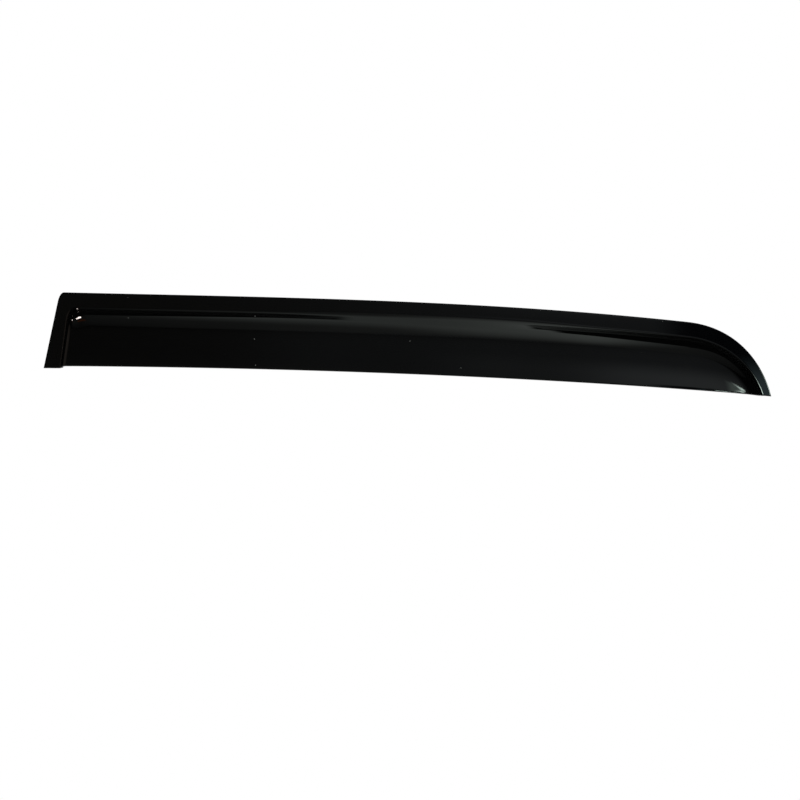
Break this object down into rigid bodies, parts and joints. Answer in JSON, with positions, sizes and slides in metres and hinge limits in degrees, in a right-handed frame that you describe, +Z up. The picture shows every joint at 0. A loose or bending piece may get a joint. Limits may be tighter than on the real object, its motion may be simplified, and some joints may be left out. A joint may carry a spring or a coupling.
{
  "type": "window rain deflector",
  "caption": "Stick-on rain deflector for a car's rear door window: a dark acrylic strip with a flat flange, a stepped wall, a crowned body and a rounded nose.",
  "frame": {"origin": "on the back face of the flange, at mid-length and 7.7 mm below the top edge, which is half the width of the top flange", "axes": "+X along the window, from the straight end to the nose; +Y out of the flange's back face, towards the door; +Z up"},
  "size_m": [0.8, 0.028, 0.1145],
  "materials": {
    "smoked_acrylic": "high gloss, moulded, very dark smoke"
  },
  "bodies": {
    "root": {"visor": "smoked_acrylic"}
  },
  "joints": []
}
